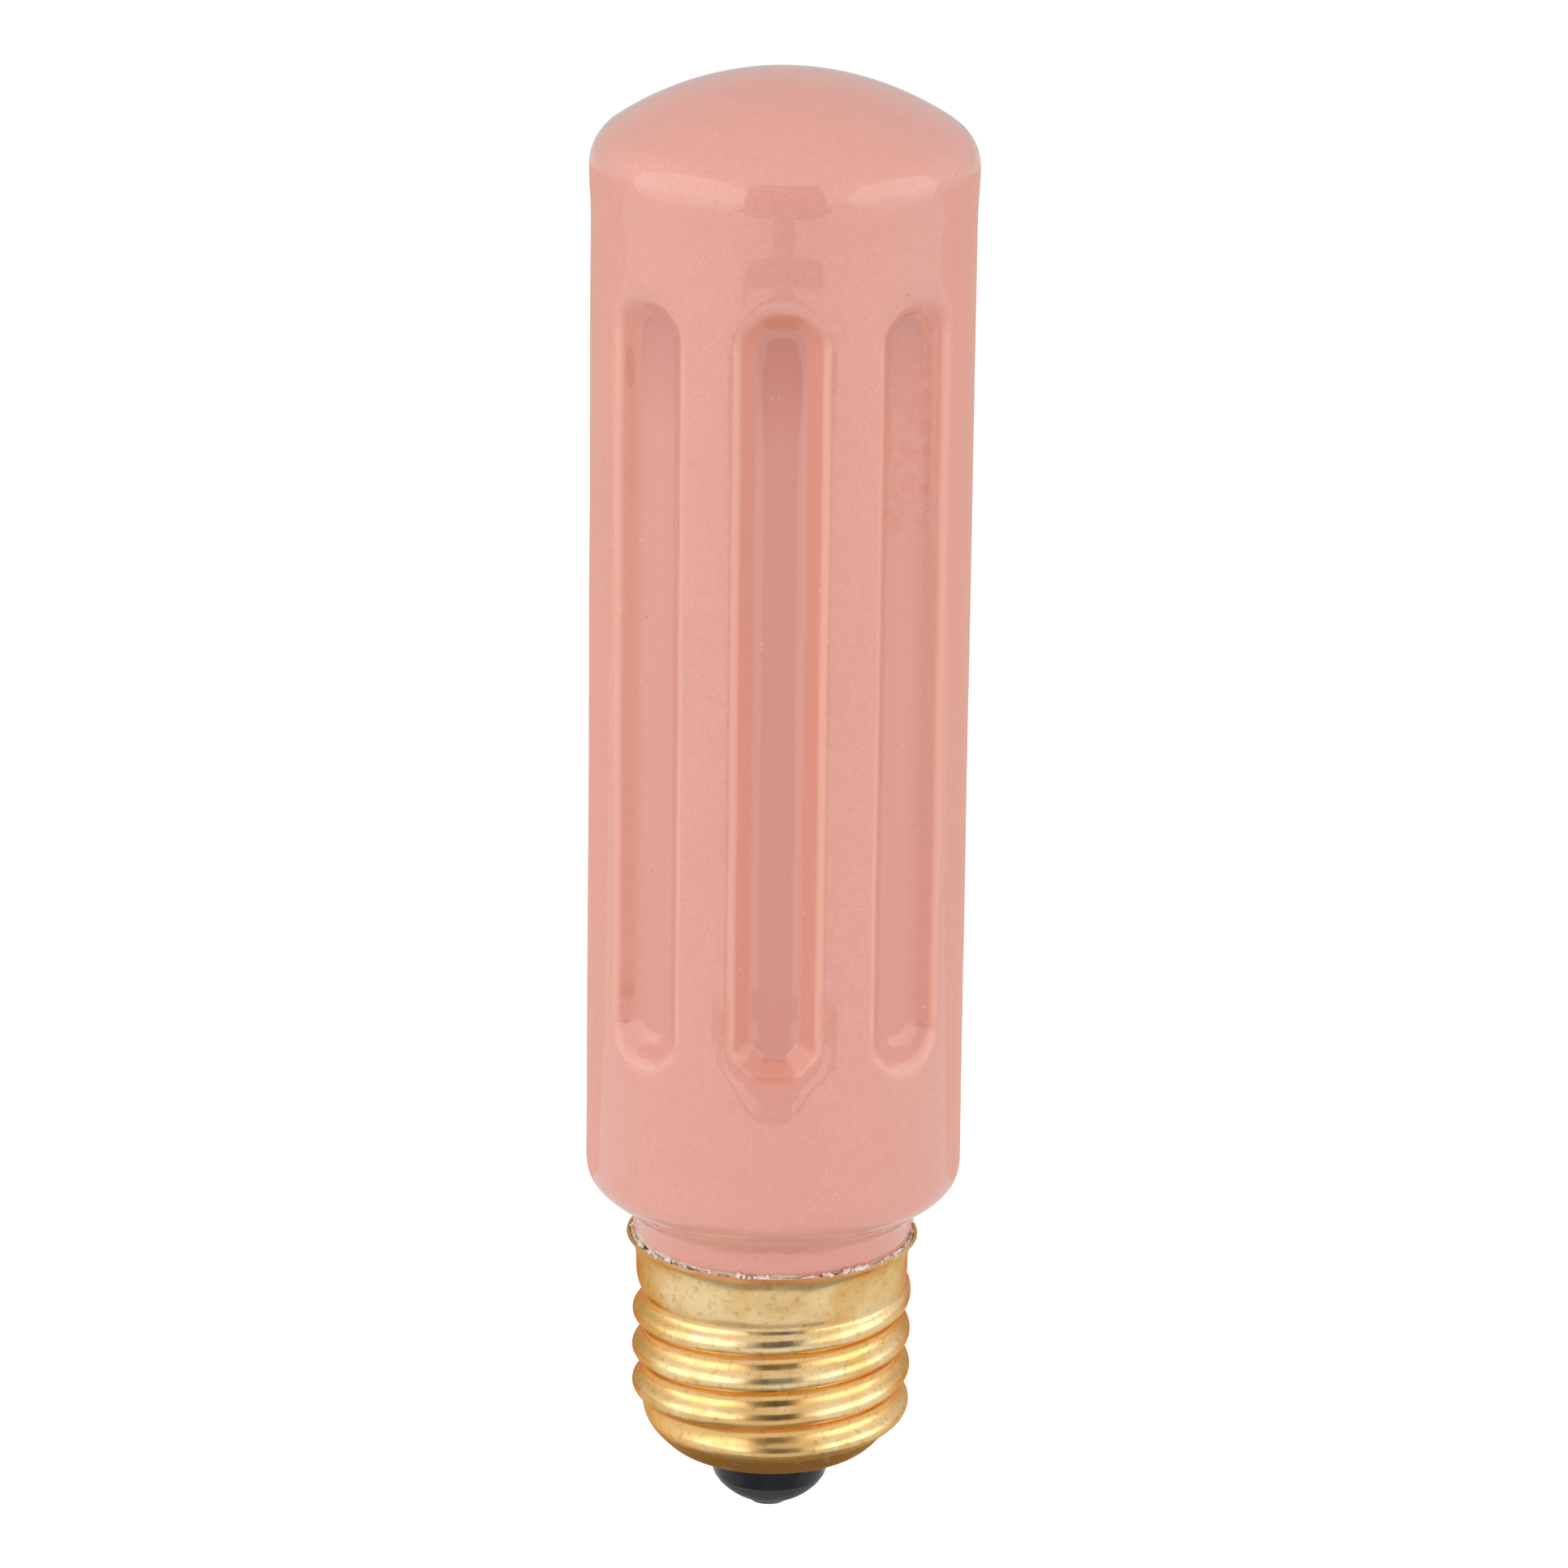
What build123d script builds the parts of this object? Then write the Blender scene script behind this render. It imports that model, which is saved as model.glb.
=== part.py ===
from build123d import *
import math
import os

# Tubular ceramic heat emitter on a medium screw cap, in millimetres.
# It stands along +Z, with the tip of its centre contact at the origin.

# Ceramic body
overall_length = 138.5
barrel_radius = 17.5
bead_stand = 0.23
bead_blend_length = 4.2
dome_radius = 27.8
dome_edge_round = 4.3
shoulder_height = 3.8
shoulder_edge_round = 3.0
neck_radius = 13.1
neck_length = 2.6
neck_root_round = 1.0
neck_bare_edge = 0.7
spigot_radius = 11.2

# Flutes: places round the barrel, counted from the front, of which the two side panels stay plain
flute_places = 8
plain_places = (2, 6)
flute_depth = 2.4
flute_floor_width = 3.6
flute_floor_length = 67.6
flute_above_shoulder = 16.9
flute_side_slope = 45.0
flute_end_slope = 22.0
flute_floor_corner = 1.4
flute_mouth_corner = 3.2
flute_floor_round = 0.8
flute_mouth_round = 1.5
flute_cutter_stand = 0.6

# Screw cap, rolled from sheet
cap_height = 27.4
shell_wall = 0.3
rim_radius = 13.7
rim_flare_length = 1.9
collar_radius = 12.8
collar_length = 2.6
collar_step_length = 0.9
thread_pitch = 3.629
thread_root_radius = 12.15
thread_height = 0.95
thread_ridge_width = 3.0
thread_below_collar = 0.6
thread_fade_turns = 0.35
thread_start_height = 10.4
thread_start_bearing = -18.0
foot_wall_height = 9.3
foot_corner_radius = 9.4
foot_floor_height = 6.2
foot_round = 3.0
shell_opening_radius = 6.1

# Cement ring between the spigot and the collar
cement_below_rim = 0.3
cement_depth = 4.1

# Glass insulator
insulator_lip = 1.0
insulator_knee_round = 0.4
insulator_cone_clearance = 0.15
insulator_dish_height = 2.4
insulator_hub_height = 1.7
insulator_hub_radius = 3.6

# Centre contact, its hollow rivet and the solder
contact_radius = 5.1
contact_dome_radius = 6.45
contact_wall = 0.4
contact_edge_proud = 0.25
stem_radius = 1.7
stem_wall = 0.5
stem_flange_radius = 2.4
stem_flange_thickness = 0.3
solder_stand = 0.3
solder_radius = 1.9
solder_fill_height = 3.0

# Lead wires, and the free space they need above the cap's floor
wire_space_height = 9.1
lead_radius = 0.4
lead_spacing = 4.0
lead_seat_depth = 5.0
lead_bend_radius = 2.0
lead_weld_drop = 3.2
centre_lead_tip_height = 1.2
centre_lead_cross_drop = 2.6
centre_lead_cross_height = 2.4

os.makedirs("parts", exist_ok=True)

# Heights that follow from the sizes above
neck_end_height = cap_height - cement_below_rim
shoulder_foot_height = neck_end_height + neck_length
barrel_foot_height = shoulder_foot_height + shoulder_height
flute_low_height = barrel_foot_height + flute_above_shoulder
flute_middle_height = flute_low_height + flute_floor_length / 2
shell_floor_height = foot_floor_height + shell_wall
spigot_end_height = shell_floor_height + wire_space_height
foot_slope = math.atan2(foot_wall_height - foot_floor_height, thread_root_radius - foot_corner_radius)
contact_centre_height = solder_stand + contact_dome_radius


def dome_height(sphere_radius, radius):
    """Height of the contact's domed surface at a distance from the axis."""
    return contact_centre_height - math.sqrt(sphere_radius**2 - radius**2)


# Ceramic body: a revolved section with a domed top, a slight bead, a sloped shoulder and a stepped neck
bead_radius = barrel_radius + bead_stand
dome_centre_height = overall_length - dome_radius
edge_centre_radius = bead_radius - dome_edge_round
edge_reach = dome_radius - dome_edge_round
bead_height = dome_centre_height + math.sqrt(edge_reach**2 - edge_centre_radius**2)
edge_angle = math.degrees(math.atan2(bead_height - dome_centre_height, edge_centre_radius))
bead_foot_height = bead_height - bead_blend_length

with BuildPart() as ceramic_body:
    with BuildSketch(Plane.XZ) as ceramic_section:
        with BuildLine():
            CenterArc((0, dome_centre_height), dome_radius, edge_angle, 90 - edge_angle)
            CenterArc((edge_centre_radius, bead_height), dome_edge_round, 0, edge_angle)
            Bezier(
                (bead_radius, bead_height),
                (bead_radius, bead_height - bead_blend_length / 2),
                (barrel_radius, bead_height - bead_blend_length / 2),
                (barrel_radius, bead_foot_height),
            )
            FilletPolyline(
                (barrel_radius, bead_foot_height),
                (barrel_radius, barrel_foot_height),
                (neck_radius, shoulder_foot_height),
                (neck_radius, neck_end_height + neck_bare_edge),
                radius=(shoulder_edge_round, neck_root_round),
            )
            Polyline(
                (neck_radius, neck_end_height + neck_bare_edge),
                (neck_radius - neck_bare_edge, neck_end_height),
                (spigot_radius, neck_end_height),
                (spigot_radius, spigot_end_height),
                (0, spigot_end_height),
                (0, overall_length),
            )
        make_face()
    revolve(axis=Axis.Z)

    # Each flute is a flat-floored pocket with sloping sides and steeper rounded ends
    floor_distance = barrel_radius - flute_depth
    cutter_height = flute_depth + flute_cutter_stand
    mouth_width = flute_floor_width + 2 * cutter_height * math.tan(math.radians(flute_side_slope))
    mouth_length = flute_floor_length + 2 * cutter_height * math.tan(math.radians(flute_end_slope))
    for place in range(flute_places):
        if place in plain_places:
            continue
        bearing = math.radians(-90 + place * 360 / flute_places)
        outward = Vector(math.cos(bearing), math.sin(bearing), 0)
        across = Vector(-math.sin(bearing), math.cos(bearing), 0)
        floor_plane = Plane(
            origin=outward * floor_distance + Vector(0, 0, flute_middle_height),
            x_dir=across,
            z_dir=outward,
        )
        with BuildSketch(floor_plane):
            RectangleRounded(flute_floor_width, flute_floor_length, flute_floor_corner)
        with BuildSketch(floor_plane.offset(cutter_height)):
            RectangleRounded(mouth_width, mouth_length, flute_mouth_corner)
        loft(mode=Mode.SUBTRACT)

    def from_axis(edge):
        """Distance of an edge's middle from the emitter's axis."""
        middle = edge.center(CenterOf.MASS)
        return math.hypot(middle.X, middle.Y)

    def flute_edges():
        """Edges between the ends of the flutes, without the seam of the barrel."""
        low_height = flute_low_height - flute_depth
        high_height = flute_low_height + flute_floor_length + flute_depth
        between = ceramic_body.edges().filter_by_position(Axis.Z, low_height, high_height)
        return between.filter_by(lambda edge: edge.length < flute_floor_length * 1.2)

    fillet(
        flute_edges().filter_by(lambda edge: from_axis(edge) < floor_distance + flute_depth / 8),
        radius=flute_floor_round,
    )
    fillet(
        flute_edges().filter_by(lambda edge: from_axis(edge) > barrel_radius - flute_depth / 8),
        radius=flute_mouth_round,
    )


# Screw cap: one skin is a plug with a round helical ridge whose two ends sink into the wall
crest_radius = thread_root_radius + thread_height
crest_round = ((thread_ridge_width / 2) ** 2 + thread_height**2) / (2 * thread_height)
crest_centre_radius = crest_radius - crest_round
flare_round = ((rim_radius - collar_radius) ** 2 + rim_flare_length**2) / (2 * (rim_radius - collar_radius))
flare_centre_radius = collar_radius + flare_round
flare_foot_height = cap_height - rim_flare_length
collar_foot_height = flare_foot_height - collar_length
thread_end_height = collar_foot_height - collar_step_length - thread_below_collar
thread_turns = (thread_end_height - thread_start_height) / thread_pitch


def ridge_place(turn, root_radius):
    """Point on the ridge's root line, a number of turns after the thread's full height begins."""
    past_end = max(0, -turn, turn - thread_turns) / thread_fade_turns
    sunk = (thread_height + 2 * shell_wall) * past_end**2 * (3 - 2 * past_end)
    bearing = math.radians(thread_start_bearing + 360 * turn)
    radius = root_radius - sunk
    height = thread_start_height + thread_pitch * turn
    return Vector(radius * math.cos(bearing), radius * math.sin(bearing), height)


def ridge(inset):
    """The helical ridge of the outer skin, or of the inner one when inset is the sheet's thickness."""
    root_radius = thread_root_radius - inset
    half_width = math.sqrt((crest_round - inset) ** 2 - (root_radius - crest_centre_radius) ** 2)
    crest_stand = crest_radius - inset - root_radius
    foot_depth = 2 * shell_wall
    full_turns = thread_turns + 2 * thread_fade_turns
    point_count = math.ceil(16 * full_turns)
    turns = [full_turns * index / point_count - thread_fade_turns for index in range(point_count + 1)]
    first_bearing = math.radians(thread_start_bearing + 360 * turns[0])
    outward = Vector(math.cos(first_bearing), math.sin(first_bearing), 0)
    along = Vector(-math.sin(first_bearing), math.cos(first_bearing), 0)
    with BuildPart() as swept:
        with BuildLine() as spiral:
            Spline([ridge_place(turn, root_radius) for turn in turns])
        with BuildSketch(Plane(origin=ridge_place(turns[0], root_radius), x_dir=outward, z_dir=along)):
            with BuildLine():
                ThreePointArc((0, -half_width), (crest_stand, 0), (0, half_width))
                Polyline(
                    (0, half_width), (-foot_depth, half_width), (-foot_depth, -half_width), (0, -half_width)
                )
            make_face()
        sweep(path=spiral.line, is_frenet=True)
    return swept.part


def foot_corner(inset):
    """Corner between the foot's cone and its underside, on the outer skin or inset from it."""
    return foot_corner_radius - inset * math.tan(foot_slope / 2), foot_floor_height + inset


def cone_place(inset, height):
    """Point at a height on the foot's cone, on the outer skin or inset from it."""
    corner_radius, corner_height = foot_corner(inset)
    return corner_radius + (height - corner_height) / math.tan(foot_slope), height


def outside_foot(inset):
    """Ring that is cut away below the foot. Its cone runs on outwards and trims the thread's first turn."""
    far_place = cone_place(inset, cap_height / 2)
    with BuildPart() as ring:
        with BuildSketch(Plane.XZ):
            with BuildLine():
                FilletPolyline(
                    far_place,
                    foot_corner(inset),
                    (0, foot_floor_height + inset),
                    radius=foot_round - inset,
                )
                Polyline((0, foot_floor_height + inset), (0, 0), (far_place[0], 0), far_place)
            make_face()
        revolve(axis=Axis.Z)
    return ring.part


def skin_plug(inset):
    """Solid that fills the cap out to its outer skin, or to its inner skin when inset is the sheet's thickness."""
    root_radius = thread_root_radius - inset
    flare_turn = math.degrees(math.asin(rim_flare_length / (flare_round + inset)))
    with BuildPart() as plug:
        with BuildSketch(Plane.XZ):
            with BuildLine():
                flare = CenterArc(
                    (flare_centre_radius, flare_foot_height), flare_round + inset, 180, -flare_turn
                )
                Polyline(
                    (collar_radius - inset, flare_foot_height),
                    (collar_radius - inset, collar_foot_height),
                    (root_radius, collar_foot_height - collar_step_length),
                    (root_radius, foot_floor_height / 2),
                    (0, foot_floor_height / 2),
                    (0, cap_height),
                    flare @ 1,
                )
            make_face()
        revolve(axis=Axis.Z)
        add(ridge(inset))
        add(outside_foot(inset), mode=Mode.SUBTRACT)
    return plug.part


outer_plug = skin_plug(0)
inner_plug = skin_plug(shell_wall)

with BuildPart() as screw_shell:
    add(outer_plug)
    add(inner_plug, mode=Mode.SUBTRACT)
    with Locations((0, 0, foot_floor_height)):
        Cylinder(shell_opening_radius, 4 * shell_wall, mode=Mode.SUBTRACT)
screw_shell.part.label = "screw_shell"
export_step(screw_shell.part, "parts/screw_shell.step")

# Lead wires: one to the centre contact, one to the wall of the cap
lead_top_height = spigot_end_height + lead_seat_depth
lead_weld_height = spigot_end_height - lead_weld_drop
cross_top_height = spigot_end_height - centre_lead_cross_drop

with BuildPart() as centre_lead:
    with BuildLine() as centre_lead_path:
        FilletPolyline(
            (-lead_spacing / 2, 0, lead_top_height),
            (-lead_spacing / 2, 0, cross_top_height),
            (0, 0, cross_top_height - centre_lead_cross_height),
            (0, 0, centre_lead_tip_height),
            radius=lead_bend_radius,
        )
    with BuildSketch(Plane.XY.offset(lead_top_height)):
        with Locations((-lead_spacing / 2, 0)):
            Circle(lead_radius)
    sweep(path=centre_lead_path.line)
centre_lead.part.label = "centre_lead"
export_step(centre_lead.part, "parts/centre_lead.step")

with BuildPart() as shell_lead:
    with BuildLine() as shell_lead_path:
        FilletPolyline(
            (lead_spacing / 2, 0, lead_top_height),
            (lead_spacing / 2, 0, lead_weld_height),
            (thread_root_radius, 0, lead_weld_height),
            radius=lead_bend_radius,
        )
    with BuildSketch(Plane.XY.offset(lead_top_height)):
        with Locations((lead_spacing / 2, 0)):
            Circle(lead_radius)
    sweep(path=shell_lead_path.line)
    add(inner_plug, mode=Mode.INTERSECT)
shell_lead.part.label = "shell_lead"
export_step(shell_lead.part, "parts/shell_lead.step")

# The wires enter the end of the spigot
with BuildPart() as ceramic_with_seats:
    add(ceramic_body.part)
    add(centre_lead.part, mode=Mode.SUBTRACT)
    add(shell_lead.part, mode=Mode.SUBTRACT)
ceramic_with_seats.part.label = "ceramic_body"
export_step(ceramic_with_seats.part, "parts/ceramic_body.step")

# Cement ring, cast between the spigot and the collar
with BuildPart() as cap_cement:
    with Locations((0, 0, cap_height - cement_below_rim)):
        Cylinder(rim_radius, cement_depth, align=(Align.CENTER, Align.CENTER, Align.MAX))
    add(inner_plug, mode=Mode.INTERSECT)
    add(ceramic_with_seats.part, mode=Mode.SUBTRACT)
cap_cement.part.label = "cap_cement"
export_step(cap_cement.part, "parts/cap_cement.step")

# Glass insulator: grips the edge of the cap's opening, carries the contact on a domed seat and is dished inside
seat_radius = contact_dome_radius - contact_wall
seat_edge_height = dome_height(seat_radius, contact_radius)
lip_height = foot_floor_height - insulator_lip
cone_foot_height = dome_height(contact_dome_radius, contact_radius) + contact_edge_proud
dish_edge_height = shell_floor_height + insulator_dish_height
hub_height = shell_floor_height + insulator_hub_height
dish_edge = cone_place(shell_wall, dish_edge_height)
seat_turn = [math.degrees(math.acos(radius / seat_radius)) for radius in (contact_radius, stem_radius)]

with BuildPart() as base_insulator:
    with BuildSketch(Plane.XZ):
        with BuildLine():
            FilletPolyline(
                dish_edge,
                foot_corner(shell_wall),
                (shell_opening_radius, shell_floor_height),
                radius=foot_round - shell_wall,
            )
            Polyline(
                (shell_opening_radius, shell_floor_height),
                (shell_opening_radius, lip_height),
                (contact_radius + insulator_cone_clearance, cone_foot_height),
                (contact_radius, cone_foot_height),
                (contact_radius, seat_edge_height),
            )
            seat = CenterArc((0, contact_centre_height), seat_radius, -seat_turn[0], seat_turn[0] - seat_turn[1])
            Polyline(
                seat @ 1,
                (stem_radius, hub_height),
                (insulator_hub_radius, hub_height),
                dish_edge,
            )
        make_face()
    revolve(axis=Axis.Z)
    knee_reach = insulator_knee_round / 8
    knee_edges = base_insulator.edges().filter_by_position(Axis.Z, lip_height - knee_reach, lip_height + knee_reach)
    fillet(knee_edges, radius=insulator_knee_round)
base_insulator.part.label = "base_insulator"
export_step(base_insulator.part, "parts/base_insulator.step")

# Centre contact: domed plate with a hollow rivet stem, turned over above the glass
stem_bore_radius = stem_radius - stem_wall
plate_edge_turn = math.degrees(math.acos(contact_radius / contact_dome_radius))
plate_bore_turn = math.degrees(math.acos(stem_bore_radius / contact_dome_radius))
flange_top_height = hub_height + stem_flange_thickness

with BuildPart() as centre_contact:
    with BuildSketch(Plane.XZ):
        with BuildLine():
            outside = CenterArc(
                (0, contact_centre_height), contact_dome_radius, -plate_edge_turn, plate_edge_turn - plate_bore_turn
            )
            inside = CenterArc(
                (0, contact_centre_height), seat_radius, -seat_turn[0], seat_turn[0] - seat_turn[1]
            )
            Line(outside @ 0, inside @ 0)
            Polyline(
                inside @ 1,
                (stem_radius, hub_height),
                (stem_flange_radius, hub_height),
                (stem_flange_radius, flange_top_height),
                (stem_bore_radius, flange_top_height),
                outside @ 1,
            )
        make_face()
    revolve(axis=Axis.Z)
centre_contact.part.label = "centre_contact"
export_step(centre_contact.part, "parts/centre_contact.step")

# Solder: fills the rivet round the centre lead and stands as a drop on the plate
drop_edge_height = dome_height(contact_dome_radius, solder_radius)
drop_round = (solder_radius**2 + drop_edge_height**2) / (2 * drop_edge_height)
drop_edge_turn = math.degrees(math.acos(solder_radius / drop_round))
drop_seat_turn = math.degrees(math.acos(solder_radius / contact_dome_radius))

with BuildPart() as contact_solder:
    with BuildSketch(Plane.XZ):
        with BuildLine():
            CenterArc((0, drop_round), drop_round, -90, 90 - drop_edge_turn)
            on_plate = CenterArc(
                (0, contact_centre_height), contact_dome_radius, -drop_seat_turn, drop_seat_turn - plate_bore_turn
            )
            Polyline(
                on_plate @ 1, (stem_bore_radius, solder_fill_height), (0, solder_fill_height), (0, 0)
            )
        make_face()
    revolve(axis=Axis.Z)
    add(centre_lead.part, mode=Mode.SUBTRACT)
contact_solder.part.label = "contact_solder"
export_step(contact_solder.part, "parts/contact_solder.step")
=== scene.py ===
import math
import random

import bpy
from mathutils import Matrix, Vector, noise


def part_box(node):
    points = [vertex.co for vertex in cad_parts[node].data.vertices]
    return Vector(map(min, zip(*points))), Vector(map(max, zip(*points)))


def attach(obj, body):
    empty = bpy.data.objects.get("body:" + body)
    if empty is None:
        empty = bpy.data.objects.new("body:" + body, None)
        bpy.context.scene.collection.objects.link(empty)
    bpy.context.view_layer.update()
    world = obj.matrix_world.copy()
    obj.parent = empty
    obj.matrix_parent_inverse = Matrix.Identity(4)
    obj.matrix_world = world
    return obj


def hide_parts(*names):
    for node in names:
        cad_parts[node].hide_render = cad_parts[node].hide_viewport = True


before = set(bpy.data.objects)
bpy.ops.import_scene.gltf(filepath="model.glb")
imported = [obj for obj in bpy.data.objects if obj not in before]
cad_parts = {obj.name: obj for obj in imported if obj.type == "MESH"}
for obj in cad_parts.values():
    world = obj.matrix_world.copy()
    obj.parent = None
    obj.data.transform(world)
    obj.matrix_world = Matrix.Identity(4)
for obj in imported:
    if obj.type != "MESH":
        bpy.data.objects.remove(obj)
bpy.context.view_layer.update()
bpy.ops.object.select_all(action="DESELECT")

# Camera
# A long lens three quarters of a metre away looks slightly down on the middle of the emitter, a hair out
# of level, as the photograph was taken.
mm = 0.001
camera_elevation = math.radians(17.5)
camera_distance = 742 * mm
camera_target = Vector((0.6 * mm, 0, 71.37 * mm))
camera_roll = math.radians(0.7)
camera_place = camera_target + camera_distance * Vector(
    (0, -math.cos(camera_elevation), math.sin(camera_elevation))
)
camera_tilt = Matrix.Rotation(math.pi / 2 - camera_elevation, 3, "X")
camera_turn = camera_tilt @ Matrix.Rotation(camera_roll, 3, "Z")
bpy.ops.object.camera_add(location=camera_place, rotation=camera_turn.to_euler())
camera = bpy.context.object
camera.data.sensor_width = 36
camera.data.lens = 184.5
bpy.context.scene.camera = camera
bpy.context.scene.view_settings.view_transform = "Standard"

# Studio
# A pale floor well below the emitter, which hangs free as it does in its holder, and white walls all
# round, with the stronger soft light at the left. The glaze and the brass mirror the dark camera, the edges
# of the table in front and a warm cloth behind, which are cards here that only mirrors show.
floor_height = -100 * mm
floor_size = 8.0
floor_camera_glow = 0.4

bpy.ops.mesh.primitive_plane_add(size=floor_size, location=(0, 0, floor_height))
studio_floor = bpy.context.object
studio_floor.name = "studio_floor"

floor_paper = bpy.data.materials.new("floor_paper")
floor_paper.use_nodes = True
floor_nodes = floor_paper.node_tree.nodes
floor_links = floor_paper.node_tree.links
floor_nodes.clear()
paper_face = floor_nodes.new("ShaderNodeBsdfDiffuse")
paper_face.inputs["Color"].default_value = (0.8, 0.8, 0.8, 1)
paper_glow = floor_nodes.new("ShaderNodeEmission")
paper_glow.inputs["Color"].default_value = (1, 1, 1, 1)
floor_path = floor_nodes.new("ShaderNodeLightPath")
glow_strength = floor_nodes.new("ShaderNodeMath")
glow_strength.operation = "MULTIPLY"
glow_strength.inputs[1].default_value = floor_camera_glow
floor_sum = floor_nodes.new("ShaderNodeAddShader")
floor_out = floor_nodes.new("ShaderNodeOutputMaterial")
floor_links.new(floor_path.outputs["Is Camera Ray"], glow_strength.inputs[0])
floor_links.new(glow_strength.outputs[0], paper_glow.inputs["Strength"])
floor_links.new(paper_face.outputs[0], floor_sum.inputs[0])
floor_links.new(paper_glow.outputs[0], floor_sum.inputs[1])
floor_links.new(floor_sum.outputs[0], floor_out.inputs["Surface"])
studio_floor.data.materials.append(floor_paper)

studio = bpy.data.worlds.new("studio")
bpy.context.scene.world = studio
studio.use_nodes = True
wall_nodes = studio.node_tree.nodes
wall_links = studio.node_tree.links
wall_glow = wall_nodes["Background"]
wall_glow.inputs["Color"].default_value = (1, 1, 1, 1)
wall_path = wall_nodes.new("ShaderNodeLightPath")
wall_way = wall_nodes.new("ShaderNodeTexCoord")
wall_axes = wall_nodes.new("ShaderNodeSeparateXYZ")
wall_links.new(wall_way.outputs["Generated"], wall_axes.inputs[0])


def wall_shade(way, near, far, far_strength):
    """Strength of the walls that falls off from 1 along one axis."""
    shade = wall_nodes.new("ShaderNodeMapRange")
    shade.inputs["From Min"].default_value = near
    shade.inputs["From Max"].default_value = far
    shade.inputs["To Min"].default_value = 1.0
    shade.inputs["To Max"].default_value = far_strength
    wall_links.new(way, shade.inputs["Value"])
    return shade.outputs[0]


def wall_product(first, second):
    """Product of two strengths, of which the second may be a plain number."""
    product = wall_nodes.new("ShaderNodeMath")
    product.operation = "MULTIPLY"
    wall_links.new(first, product.inputs[0])
    if isinstance(second, float):
        product.inputs[1].default_value = second
    else:
        wall_links.new(second, product.inputs[1])
    return product.outputs[0]


def wall_choice(asked, otherwise, strength):
    """One strength where a kind of ray asks, and another otherwise."""
    choice = wall_nodes.new("ShaderNodeMix")
    wall_links.new(asked, choice.inputs["Factor"])
    wall_links.new(otherwise, choice.inputs["A"])
    if isinstance(strength, float):
        choice.inputs["B"].default_value = strength
    else:
        wall_links.new(strength, choice.inputs["B"])
    return choice.outputs["Result"]


diffuse_strength = 0.96
mirrored_strength = 1.1
overhead = wall_shade(wall_axes.outputs["Z"], near=0.35, far=0.95, far_strength=0.72)
behind = wall_shade(wall_axes.outputs["Y"], near=0.1, far=0.8, far_strength=0.5)
wall_light = wall_product(overhead, diffuse_strength)
wall_mirrored = wall_product(wall_product(overhead, behind), mirrored_strength)
wall_strength = wall_choice(wall_path.outputs["Is Glossy Ray"], wall_light, wall_mirrored)
wall_strength = wall_choice(wall_path.outputs["Is Camera Ray"], wall_strength, 1.0)
wall_links.new(wall_strength, wall_glow.inputs["Strength"])


def soft_box(name, place, size, power):
    """Hang a round soft light that faces the middle of the emitter."""
    facing = (camera_target - Vector(place)).to_track_quat("-Z", "Y").to_euler()
    bpy.ops.object.light_add(type="AREA", location=place, rotation=facing)
    lamp = bpy.context.object
    lamp.name = name
    lamp.data.shape = "DISK"
    lamp.data.size = size
    lamp.data.energy = power
    return lamp


soft_box("left_box", place=(-0.85, -0.5, 0.2), size=1.55, power=4.3)
soft_box("right_box", place=(0.9, -0.35, 0.15), size=1.2, power=2.5)
top_box = soft_box("top_box", place=(0.0, -0.1, 0.95), size=0.7, power=1.0)
top_box.visible_glossy = False


def select_by_place(piece, wanted):
    """Select the vertices, and the edges and faces between them, whose place passes a test."""
    bpy.ops.object.mode_set(mode="OBJECT")
    for vertex in piece.data.vertices:
        vertex.select = wanted(vertex.co)
    chosen = {vertex.index for vertex in piece.data.vertices if vertex.select}
    for edge in piece.data.edges:
        edge.select = all(index in chosen for index in edge.vertices)
    for face in piece.data.polygons:
        face.select = all(index in chosen for index in face.vertices)
    bpy.ops.object.mode_set(mode="EDIT")


def only_mirrored(card, color):
    """Give a card its colour, and let it show only as a reflection."""
    cloth = bpy.data.materials.new(card.name + "_cloth")
    cloth.use_nodes = True
    cloth_face = cloth.node_tree.nodes["Principled BSDF"]
    cloth_face.inputs["Base Color"].default_value = (*color, 1)
    cloth_face.inputs["Roughness"].default_value = 1.0
    card.data.materials.append(cloth)
    card.visible_camera = False
    card.visible_diffuse = False
    card.visible_shadow = False


def add_card(name, size, place, color, upright=False):
    """Lay a card down, or stand it up facing the emitter."""
    bpy.ops.mesh.primitive_plane_add(size=1)
    card = bpy.context.object
    card.name = name
    bpy.ops.object.mode_set(mode="EDIT")
    bpy.ops.mesh.select_all(action="SELECT")
    bpy.ops.transform.resize(value=(size[0], size[1], 1), center_override=(0, 0, 0))
    if upright:
        bpy.ops.transform.rotate(value=math.pi / 2, orient_axis="X", center_override=(0, 0, 0))
    bpy.ops.transform.translate(value=place)
    bpy.ops.object.mode_set(mode="OBJECT")
    only_mirrored(card, color)


near_black = (0.03, 0.03, 0.03)
camera_grey = (0.10, 0.10, 0.10)
table_grey = (0.15, 0.15, 0.15)
shadow_grey = (0.35, 0.33, 0.30)
warm_cloth = (0.80, 0.48, 0.40)
card_height = floor_height + 1 * mm
edge_height = floor_height + 2 * mm
add_card("camera_shade", (0.68, 1.0), (0.0, -0.78, 0.40), camera_grey, upright=True)
add_card("table_gap", (1.06, 0.26), (0.0, -1.025, card_height), near_black)
add_card("table_front", (0.15, 0.44), (0.0, -0.665, card_height), table_grey)
add_card("under_shade", (0.16, 0.16), (0.0, 0.0, card_height), shadow_grey)
add_card("back_shade", (2.4, 0.8), (0.0, 0.66, card_height), warm_cloth)

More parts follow.
